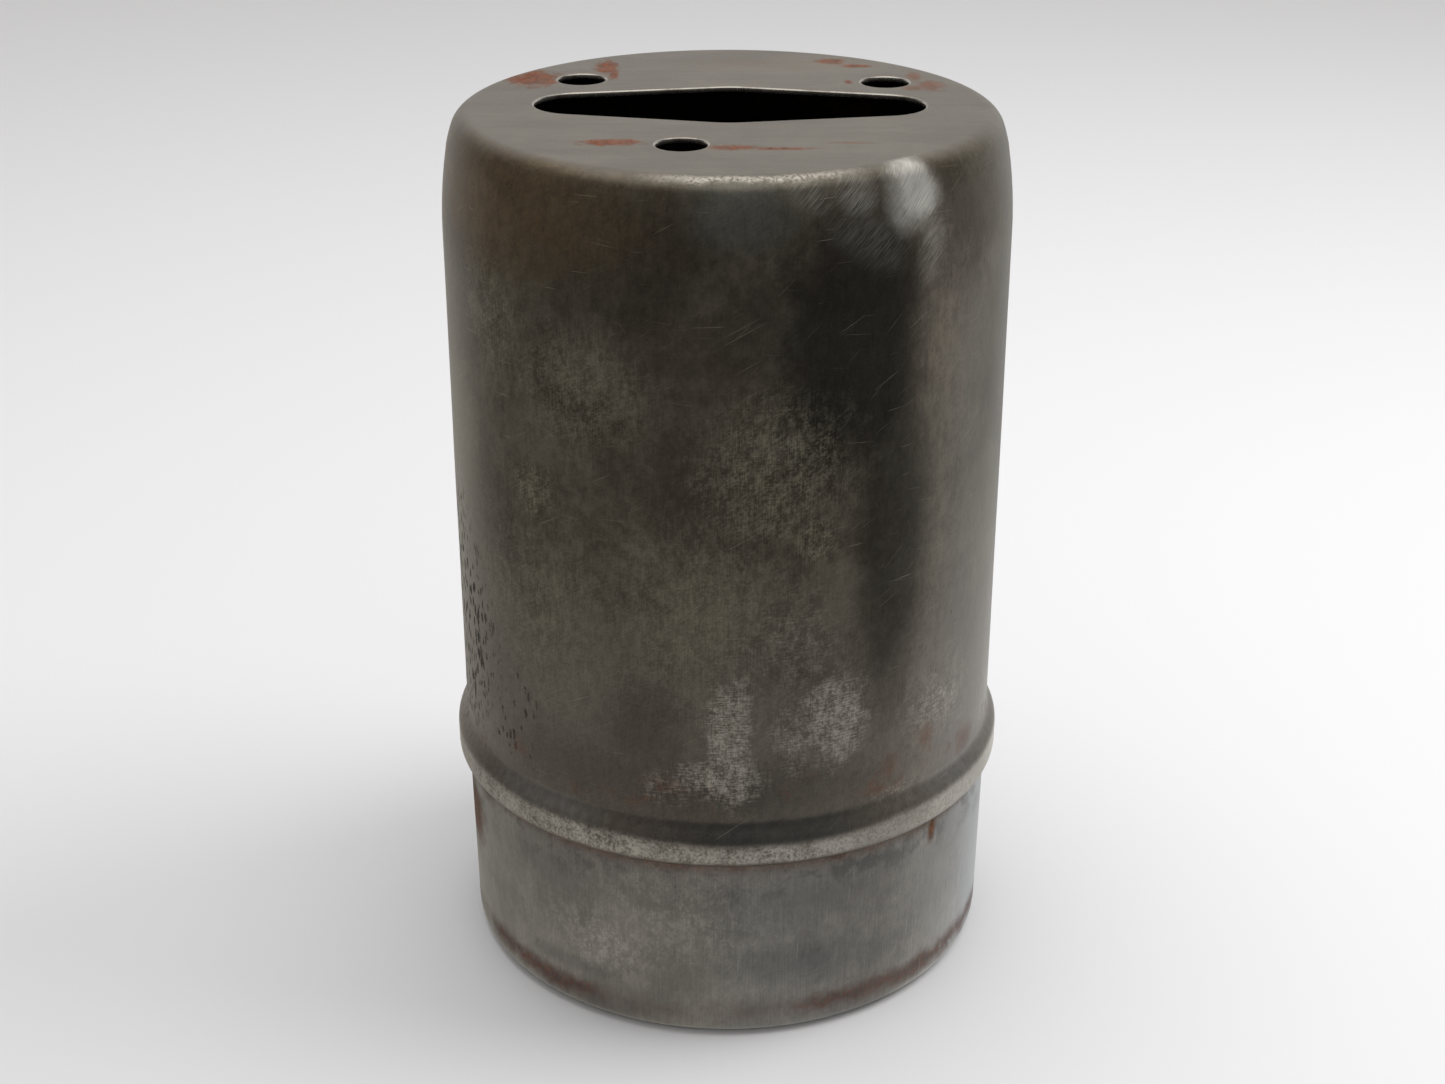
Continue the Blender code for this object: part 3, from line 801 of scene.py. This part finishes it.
def base_steel():
    """The underside: recess and foot ring, dull grey with rust at the corners of the pressing."""
    p = Casing("base_steel")
    clouds = p.noise(p.place, 34, 5, 0.6, 0.3)
    mottle = p.noise(p.place, 300, 4, 0.7)
    turned = p.noise(p.vector(p.times(p.reach, 900), 0, 0), 1, 3, 0.6)
    colour = p.mix(p.step(clouds, 0.32, 0.7), (0.33, 0.315, 0.295), (0.475, 0.46, 0.44))
    colour = p.gain(colour, p.blend(turned, 0.88, 1.12))
    scuffed = p.times(p.step(p.z, 0.0012, 0.0004), p.step(mottle, 0.36, 0.66))
    colour = p.mix(p.times(scuffed, 0.5), colour, (0.62, 0.61, 0.59))
    corner = p.band(p.reach, 0.07, 0.08, 0.004)
    rust = p.times(p.most(corner, p.step(clouds, 0.56, 0.7)), p.step(mottle, 0.42, 0.6), 0.8)
    rusty = p.mix(p.step(mottle, 0.4, 0.62), (0.27, 0.16, 0.12), (0.46, 0.27, 0.17))
    colour = p.mix(rust, colour, rusty)
    roughness = p.blend(rust, p.plus(0.34, (mottle, 0.16)), 0.82)
    height = p.plus((mottle, 0.4), (turned, 0.2), (rust, 0.3))
    return p.finish(colour, roughness, p.blend(rust, 0.85, 0.1), height, 0.0002)


# ---- fittings' materials
def plated_steel():
    """Dull zinc plating with white bloom and a few rust specks."""
    p = Paint("zinc_plate")
    spangle = p.cells(p.place, 420)
    bloom = p.noise(p.place, 160, 5, 0.65)
    fine = p.noise(p.place, 1300, 3, 0.6)
    colour = p.mix(p.step(spangle, 0.1, 0.8), (0.66, 0.66, 0.65), (0.74, 0.735, 0.71))
    colour = p.mix(p.times(p.step(bloom, 0.52, 0.7), 0.5), colour, (0.8, 0.8, 0.79))
    rust = p.times(p.step(p.plus(bloom, p.swing(fine, 0.4)), 0.4, 0.3), 0.75)
    colour = p.mix(rust, colour, (0.42, 0.26, 0.16))
    roughness = p.blend(rust, p.plus(0.3, (bloom, 0.2)), 0.8)
    height = p.plus((fine, 0.4), (spangle, 0.15), (rust, 0.4))
    return p.finish(colour, roughness, p.blend(rust, 0.95, 0.1), height, 0.00008)


def turned_brass():
    """Brass with fine lathe rings, browned in its hollows and touched with verdigris."""
    p = Paint("turned_brass")
    reach = p.length(p.x, p.y)
    rings = p.noise(p.vector(p.times(reach, 3000), 0, p.times(p.z, 3000)), 1, 2, 0.5)
    stain = p.noise(p.place, 170, 5, 0.65, 0.4)
    fine = p.noise(p.place, 1400, 3, 0.6)
    colour = p.mix(p.step(stain, 0.36, 0.66), (0.78, 0.64, 0.36), (0.52, 0.39, 0.21))
    colour = p.gain(colour, p.blend(rings, 0.9, 1.1))
    green = p.times(p.step(p.plus(stain, p.swing(fine, 0.6)), 0.64, 0.74), 0.6)
    colour = p.mix(green, colour, (0.33, 0.44, 0.37))
    roughness = p.blend(green, p.plus(0.24, (stain, 0.24)), 0.8)
    height = p.plus((rings, 0.4), (fine, 0.2), (green, 0.4))
    return p.finish(colour, roughness, p.blend(green, 0.98, 0.15), height, 0.00006)


def moulded_rubber():
    """Black rubber with a fine moulded grain and a grey, dusty bloom."""
    p = Paint("moulded_rubber")
    grain = p.noise(p.place, 1500, 3, 0.65)
    bloom = p.noise(p.place, 40, 5, 0.6, 0.5)
    pores = p.step(p.cells(p.place, 260), 0.16, 0.06)
    colour = p.mix(p.step(bloom, 0.38, 0.72), (0.105, 0.103, 0.1), (0.23, 0.222, 0.21))
    colour = p.gain(colour, p.blend(grain, 0.82, 1.18))
    roughness = p.plus(0.55, (bloom, 0.3))
    height = p.plus((grain, 0.5), (pores, -0.3))
    return p.finish(colour, roughness, 0, height, 0.0001)


def gasket_fibre():
    """Red vulcanised fibre: short strands pressed flat."""
    p = Paint("gasket_fibre")
    strands = p.noise(p.scaled(p.place, (1, 0.2, 1)), 1500, 4, 0.7)
    crossing = p.noise(p.scaled(p.place, (0.2, 1, 1)), 1500, 4, 0.7)
    both = p.most(strands, crossing)
    colour = p.mix(p.step(both, 0.42, 0.7), (0.4, 0.12, 0.085), (0.58, 0.23, 0.15))
    return p.finish(colour, p.plus(0.65, (both, 0.2)), 0, both, 0.00008)


# ---- upper shell
def shoulder_path():
    """From the flat crown, out and down through three tangent arcs to the straight wall."""
    run = sum(rho * (math.sin(math.radians(b)) - math.sin(math.radians(a))) for rho, a, b, _ in SHOULDER_ARCS)
    r, z = WALL_R - run, HEIGHT
    points = [(r - CROWN_SUPPORT, z), (r, z)]
    for rho, start, end, steps in SHOULDER_ARCS:
        for i in range(steps):
            a = math.radians(start + (end - start) * i / steps)
            b = math.radians(start + (end - start) * (i + 1) / steps)
            r += rho * (math.sin(b) - math.sin(a))
            z -= rho * (math.cos(a) - math.cos(b))
            points.append((r, z))
    return points


def upper_path(wall_steps):
    """The upper shell's outer line, from the crown's edge down to the bead, rolled in at its foot."""
    path = shoulder_path()
    path += line(path[-1], (WALL_R, BEAD_TOP), wall_steps)
    for i in range(1, 13):
        t = i / 12
        proud = BEAD_PROUD * (1 - math.cos(math.pi * t)) / 2
        path.append((WALL_R + proud, BEAD_TOP + (BEAD_CREST_TOP - BEAD_TOP) * t))
    lip_r = WALL_R + BEAD_PROUD - ROLL_R
    path += line(path[-1], (WALL_R + BEAD_PROUD, BEAD_BOTTOM + ROLL_R), 3)
    path += arc((lip_r, BEAD_BOTTOM + ROLL_R), ROLL_R, 0, -90, 8)[1:]
    return path


def slot_loop(offset):
    """The slot's outline moved outwards: the hull of a middle circle and two smaller end circles."""
    lean = math.degrees(math.acos((SLOT_MIDDLE_R - SLOT_END_R) / SLOT_END_X))
    outline = (
        arc((SLOT_END_X, 0), SLOT_END_R + offset, -lean, lean, 30)
        + arc((0, 0), SLOT_MIDDLE_R + offset, lean, 180 - lean, 12)
        + arc((-SLOT_END_X, 0), SLOT_END_R + offset, 180 - lean, 180 + lean, 30)
        + arc((0, 0), SLOT_MIDDLE_R + offset, 180 + lean, 360 - lean, 12)
    )
    cos, sin = math.cos(SLOT_TURN), math.sin(SLOT_TURN)
    turned = [(x * cos - y * sin, x * sin + y * cos) for x, y in outline]
    return [(x + SLOT_CENTRE[0], y + SLOT_CENTRE[1]) for x, y in turned]


def hole_loop(centre, offset):
    return arc(centre, HOLE_R + offset, 0, 360 - 360 / 64, 63)


def punch(bm, outline):
    """A punched opening through the crown with softly rounded edges. Returns its loops on the two faces."""
    under = HEIGHT - SHEET
    rows = [(EDGE_SUPPORT, HEIGHT)]
    rows += [(EDGE_R + x, z) for x, z in arc((0, HEIGHT - EDGE_R), EDGE_R, 90, 180, 4)]
    rows += [(EDGE_R + x, z) for x, z in arc((0, under + EDGE_R), EDGE_R, 180, 270, 4)]
    rows += [(EDGE_SUPPORT, under)]
    loops = [[bm.verts.new((x, y, z)) for x, y in outline(offset)] for offset, z in rows]
    for i in range(len(loops) - 1):
        flat = i == 0 or i == len(loops) - 2
        kind = (0 if i == 0 else 1) if flat else 2
        bridge(bm, loops[i], loops[i + 1], kind)
    return loops[0], loops[-1]


def handled(vert):
    """Slight hollows and swellings that drawing and handling leave in the wall."""
    spot = Vector((vert.co.x, vert.co.y, vert.co.z * 0.6))
    swell = sum(noise.noise(spot * often) * high for often, high in (SWELL_BROAD, SWELL_CLOSE))
    grow = 1 + (swell - SWELL_SHIFT) / math.hypot(vert.co.x, vert.co.y)
    vert.co.x *= grow
    vert.co.y *= grow


def build_upper_shell(outside, inside, edge):
    bm = bmesh.new()
    outer = [ring_of(bm, r, z) for r, z in upper_path(76)]
    inner = [ring_of(bm, r, z) for r, z in offset_path(upper_path(14), SHEET)]
    for i in range(len(outer) - 1):
        bridge(bm, outer[i], outer[i + 1], 0)
    for i in range(len(inner) - 1):
        bridge(bm, inner[i], inner[i + 1], 1)
    bridge(bm, outer[-1], inner[-1], 0)
    openings = [punch(bm, slot_loop)]
    openings += [punch(bm, lambda offset, c=centre: hole_loop(c, offset)) for centre in HOLE_CENTRES]
    fill_between(bm, [outer[0]] + [top for top, _ in openings], 0)
    fill_between(bm, [inner[0]] + [low for _, low in openings], 1)
    for ring in outer:
        if BEAD_TOP < ring[0].co.z < HEIGHT - SWELL_CLEAR:
            for vert in ring:
                handled(vert)
    shell = object_from(bm, "upper_shell_sheet", [outside, inside, edge])
    place(shell, "casing", "worn_steel", "upper_shell")


# ---- lower shell
def build_lower_shell(outside, base, inside, edge):
    corner_r = SKIRT_LOW_R - CORNER_R
    skirt = [(RIM_R, RIM_TOP), (RIM_R, RIM_FLARE_TOP), (SKIRT_TOP_R, RIM_FLARE_LOW)]
    skirt += line(skirt[-1], (SKIRT_LOW_R, CORNER_R), 24)
    skirt += arc((corner_r, CORNER_R), CORNER_R, 0, -90, 12)[1:]
    panel_r = RECESS_WALL_R - PANEL_CORNER_R
    under = arc((FOOT_INNER_R, FOOT_EDGE_R), FOOT_EDGE_R, -90, -170, 8)
    under += arc((panel_r, RECESS_Z - PANEL_CORNER_R), PANEL_CORNER_R, 10, 90, 8)
    under += line(under[-1], (PORT_R + EDGE_R, RECESS_Z), 16)
    whole = offset_path(skirt + under, SHEET)
    rim = arc((PORT_R + EDGE_R, RECESS_Z + EDGE_R), EDGE_R, -90, -180, 3)[1:]
    rim += arc((PORT_R + EDGE_R, RECESS_Z + SHEET - EDGE_R), EDGE_R, 180, 90, 3)[:-1]
    shell = lathe("lower_shell_sheet", [skirt, under, rim, whole[::-1]], [outside, base, edge, inside])
    place(shell, "casing", "worn_steel", "lower_shell")


# ---- diaphragm and its ring
def build_diaphragm(rubber):
    """A rubber dish gripped by its rim: it folds under the ring, so that it clears it when it lifts."""
    dry_z = DISH_Z + RUBBER
    wall_r = RUBBER_INNER_R - TUCK_R - FOLD_R - TUCK_RUN
    tuck_z = RING_LOW[2] - TUCK_DROP
    dry = [(RUBBER_INNER_R, RUBBER_HIGH[2])]
    dry += line(dry[-1], (RUBBER_INNER_R, tuck_z + TUCK_R), 4)
    dry += arc((RUBBER_INNER_R - TUCK_R, tuck_z + TUCK_R), TUCK_R, 0, -90, 6)[1:]
    dry += arc((wall_r + FOLD_R, tuck_z - FOLD_R), FOLD_R, 90, 180, 8)
    dry += line(dry[-1], (wall_r, DISH_WALL_LOW), 8)
    wide = wall_r - DISH_FLAT_R
    tall = DISH_WALL_LOW - dry_z
    for i in range(1, 25):
        a = math.pi / 2 * i / 24
        dry.append((DISH_FLAT_R + wide * math.cos(a), DISH_WALL_LOW - tall * math.sin(a)))
    dry += line(dry[-1], (PIVOT_HOLE_R, dry_z), 90)
    wet = offset_path(dry, -RUBBER)
    dry = [(r, z + ribs(r) * (z < dry_z + 0.0001)) for r, z in dry]
    wet = [point for point in wet if point[1] < RIM_TOP - 0.0015]
    bead = rounded([
        (RUBBER_INNER_R + RUBBER, RIM_TOP - 0.0012),
        (RUBBER_INNER_R + 2 * RUBBER, RIM_TOP + FIT_GAP),
        (RUBBER_HIGH[0], RIM_TOP + FIT_GAP),
        (RUBBER_HIGH[0], RUBBER_HIGH[2]),
        (RUBBER_INNER_R, RUBBER_HIGH[2]),
    ], 0.0012, 4)[5:-5]
    dish = lathe("diaphragm_rubber", [bead + dry + wet[::-1]], [rubber], 192)
    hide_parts("diaphragm")
    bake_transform(dish)


def ribs(r):
    """Moulded rings on the dry side, between the button and the wall."""
    inside = RIB_BAND[0] < r < RIB_BAND[1]
    return RIB_HEIGHT * max(0, math.cos(2 * math.pi * r / RIB_PITCH)) if inside else 0


def build_ring(plated):
    wall = RING_OUTER_R - RING_SHEET
    section = rounded([
        (RING_HIGH[0], RING_HIGH[2]),
        (RING_HIGH[0], RING_HIGH[2] - RING_SHEET),
        (RING_OUTER_R, RING_HIGH[2] - RING_SHEET),
        (RING_OUTER_R, RING_LOW[2]),
        (wall, RING_LOW[2]),
        (wall, RING_HIGH[2]),
    ], 0.0006)
    ring = lathe("retaining_ring_hoop", [section], [plated], 288)
    place(ring, "casing", "plated_steel", "retaining_ring")


# ---- button
def build_button(plated):
    """Backing washer, dished disc with one pressed ring, and the rivet through both."""
    low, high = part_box("backing_washer")
    washer = flat_ring(PIVOT_HOLE_R, low, high, 0.0003)
    place(lathe("backing_washer_plate", [washer], [plated], 128), "button", "plated_steel", "backing_washer")

    low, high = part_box("button_disc")
    top = low[2] + DISC_SHEET
    lip = high[0] - 0.002
    upper = [(PIVOT_HOLE_R + (lip - PIVOT_HOLE_R) * i / 48, top) for i in range(49)]
    upper = [(r, z + pressed_ring(r)) for r, z in upper]
    lower = [(r, z - DISC_SHEET) for r, z in upper]
    turn_up = arc((lip - 0.0004, high[2]), 0.0024, -70, 0, 6)
    rim = [(high[0] - DISC_SHEET * 0.8, high[2])]
    disc = upper[:-2] + [(lip - DISC_SHEET * 0.5, top + 0.0004)] + rim + turn_up[::-1] + lower[::-1][1:]
    place(lathe("button_disc_pressing", [disc], [plated], 128), "button", "plated_steel", "button_disc")

    low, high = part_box("button_rivet")
    dome_h = RIVET_HEAD_H
    head_low = high[2] - dome_h
    tail_top = low[2] + RIVET_TAIL_H
    dome = [(high[0] * x, head_low + dome_h * z) for x, z in arc((0, 0), 1, 88, 0, 14)]
    tail = rounded([
        (SHANK_R, tail_top),
        (RIVET_TAIL_R, tail_top),
        (RIVET_TAIL_R, low[2] + 0.0013),
        (RIVET_TAIL_R - 0.0015, low[2]),
        (0.0004, low[2]),
    ], 0.0004)[4:]
    rivet = dome + [(SHANK_R, head_low), (SHANK_R, tail_top)] + tail
    place(lathe("button_rivet_body", [rivet], [plated], 96), "button", "plated_steel", "button_rivet")


def pressed_ring(r):
    """Height of the stiffening ring pressed into the button's disc."""
    t = (r - DISC_RING_R) / DISC_RING_HALF
    return DISC_RING_H * (1 + math.cos(math.pi * t)) / 2 if abs(t) < 1 else 0


# ---- water connector
def thread_radius(height, turn, crest_wear_and_reflection):
    """A round-crested pipe thread: its radius at a height and a turn."""
    phase = height / THREAD_PITCH + turn / (2 * math.pi)
    wave = math.cos(2 * math.pi * phase)
    return crest_wear_and_reflection - THREAD_DEPTH * (0.5 - 0.5 * wave * (1.15 - 0.15 * wave * wave))


def threaded_rows(bm, crest_wear_and_reflection, low, high, segments, fade_low, fade_high):
    """Loops of a thread from low to high, shallowing out over the given lengths at its ends."""
    count = round((high - low) / THREAD_STEP)
    rows = []
    for i in range(count + 1):
        z = low + (high - low) * i / count
        depth = min(1, (z - low) / fade_low, (high - z) / fade_high)
        row = []
        for j in range(segments):
            a = 2 * math.pi * j / segments
            r = crest_wear_and_reflection + (thread_radius(z, a, crest_wear_and_reflection) - crest_wear_and_reflection) * depth
            row.append(bm.verts.new((r * math.cos(a), r * math.sin(a), z)))
        rows.append(row)
    return rows


def build_spigot(brass):
    """Flange inside the vessel, and a pipe-threaded spigot down into the recess."""
    low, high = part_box("connector_body")
    flange_low = high[2] - FLANGE_H
    segments = 120
    bm = bmesh.new()
    rows = [ring_of(bm, r, z, segments) for r, z in (
        (BORE_R, low[2] + 0.0008),
        (BORE_R + 0.0008, low[2]),
        (SPIGOT_R - THREAD_DEPTH - 0.0001, low[2]),
    )]
    rows += threaded_rows(bm, SPIGOT_R, low[2] + 0.0004, flange_low - RELIEF, segments, 0.0012, 0.0015)
    rows += [ring_of(bm, r, z, segments) for r, z in (
        (SPIGOT_R, flange_low - 0.0003),
        (SPIGOT_R + 0.0003, flange_low),
        (high[0] - 0.0005, flange_low),
        (high[0], flange_low + 0.0005),
        (high[0], high[2] - EASED),
        (high[0] - EASED, high[2]),
        (BORE_R + EASED, high[2]),
        (BORE_R, high[2] - EASED),
    )]
    bridge_round(bm, rows)
    place(object_from(bm, "connector_spigot", [brass], 50), "casing", "brass", "connector_body")


def build_nut(brass):
    """A hexagon nut, chamfered to a circle on both faces, on the spigot's thread."""
    low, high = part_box("back_nut")
    segments = 192
    half_flats = NUT_FLATS / 2
    circle_r = half_flats - EASED
    turns = [2 * math.pi * i / segments for i in range(segments)]
    reach = [half_flats / math.cos((a + math.pi / 6) % (math.pi / 3) - math.pi / 6) for a in turns]
    bm = bmesh.new()

    def outline(radii, heights):
        return [bm.verts.new((r * math.cos(a), r * math.sin(a), z))
                for a, r, z in zip(turns, radii, heights)]

    fall = [(r - circle_r) * math.tan(math.radians(30)) for r in reach]
    rows = threaded_rows(bm, NUT_BORE_R, low[2] + 0.0009, high[2] - 0.0009, segments, 0.001, 0.001)
    rows += [
        ring_of(bm, NUT_BORE_R + EASED, high[2], segments),
        ring_of(bm, circle_r, high[2], segments),
        outline(reach, [high[2] - drop for drop in fall]),
        outline(reach, [low[2] + drop for drop in fall]),
        ring_of(bm, circle_r, low[2], segments),
        ring_of(bm, NUT_BORE_R + EASED, low[2], segments),
    ]
    bridge_round(bm, rows)
    place(object_from(bm, "back_nut_hexagon", [brass], 28), "casing", "brass", "back_nut")


def build_seals(fibre, plated):
    seals = (
        ("connector_gasket", "gasket_fibre", fibre, 0.0003),
        ("connector_washer", "plated_steel", plated, 0.0004),
    )
    for node, slot, material, edge in seals:
        section = flat_ring(PORT_R, *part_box(node), edge)
        place(lathe(node + "_ring", [section], [material], 128), "casing", slot, node)


# ---- studio
def build_floor():
    """A plain pale floor. In mirror reflections it is a table, lit beside and behind, darker in front."""
    mesh = bpy.data.meshes.new("studio_floor")
    corners = [(x * FLOOR_HALF, y * FLOOR_HALF, 0) for x, y in ((-1, -1), (1, -1), (1, 1), (-1, 1))]
    mesh.from_pydata(corners, [], [(0, 1, 2, 3)])
    p = Paint("floor_matt")
    p.finish((0.84, 0.845, 0.86), 0.9, 0)
    side = p.step(p.x, -0.02, 0.02)
    behind_right = p.step(p.plus(p.y, (p.x, 0.1)), -0.075, -0.055)
    behind_left = p.step(p.plus(p.y, (p.x, 0.3)), -0.15, 0.25)
    near = p.step(p.length(p.x, p.y), 0.75, 0.1)
    front = p.plus(0.06, (near, near, 0.5))
    beside = p.blend(side, 0.6, p.blend(near, 0.52, 1.12))
    light = p.blend(p.blend(side, behind_left, behind_right), front, beside)
    tint = p.mix(side, (0.985, 0.965, 0.925), (0.975, 0.97, 0.96))
    glow = p.node("Emission", {"Color": tint, "Strength": light})[0]
    glossy = p.node("LightPath")["Is Glossy Ray"]
    both = p.node("MixShader", {0: glossy, 1: p.shader.outputs[0], 2: glow})[0]
    p.join(both, p.tree.nodes["Material Output"].inputs["Surface"])
    mesh.materials.append(p.material)
    new_object("studio_floor", mesh)


def build_world():
    """Even pale light, but mirrored rays see a dim room in front and a pale wall behind."""
    world = bpy.data.worlds.new("studio")
    bpy.context.scene.world = world
    world.use_nodes = True
    p = Nodes(world.node_tree)
    _, y, z = p.node("SeparateXYZ", {0: p.node("TexCoord")["Generated"]})
    behind = p.step(y, 0.3, 0.75)
    overhead = p.step(z, 0.7, 0.9)
    room = p.blend(overhead, p.blend(behind, 0.035, 0.6), 1.3)
    background = p.tree.nodes["Background"]
    p.join((1, 0.985, 0.965), background.inputs["Color"])
    p.join(p.blend(p.node("LightPath")["Is Glossy Ray"], 0.67, room), background.inputs["Strength"])


def area_light(name, position, target, size, watts, colour=(1, 1, 1)):
    lamp = bpy.data.lights.new(name, "AREA")
    lamp.shape = "DISK"
    lamp.size = size
    lamp.energy = watts
    lamp.color = colour
    obj = new_object(name, lamp)
    obj.location = position
    obj.rotation_euler = (Vector(target) - Vector(position)).to_track_quat("-Z", "Y").to_euler()
    obj.visible_glossy = False


def build_lights():
    area_light("key", (1.15, 0.15, 1.4), (0, 0, 0.12), 1.1, 16, (1, 0.985, 0.96))
    area_light("overhead", (-0.1, 0.2, 2), (0, 0, 0.1), 1.6, 18)


def build_camera():
    lens = bpy.data.cameras.new("camera")
    lens.lens = CAMERA_LENS_MM
    lens.sensor_width = 36
    camera = new_object("camera", lens)
    camera.location = CAMERA_AT
    camera.rotation_euler = (math.radians(CAMERA_TILT), 0, CAMERA_TURN)
    bpy.context.scene.camera = camera


# ---- the vessel
inside = inside_steel()
edge = cut_edge_steel()
plated = plated_steel()
brass = turned_brass()
build_upper_shell(outside_steel(), inside, edge)
build_lower_shell(skirt_steel(), base_steel(), inside, edge)
build_diaphragm(moulded_rubber())
build_ring(plated)
build_button(plated)
build_spigot(brass)
build_nut(brass)
build_seals(gasket_fibre(), plated)
build_floor()
build_world()
build_lights()
build_camera()
bpy.context.scene.view_settings.view_transform = "Standard"
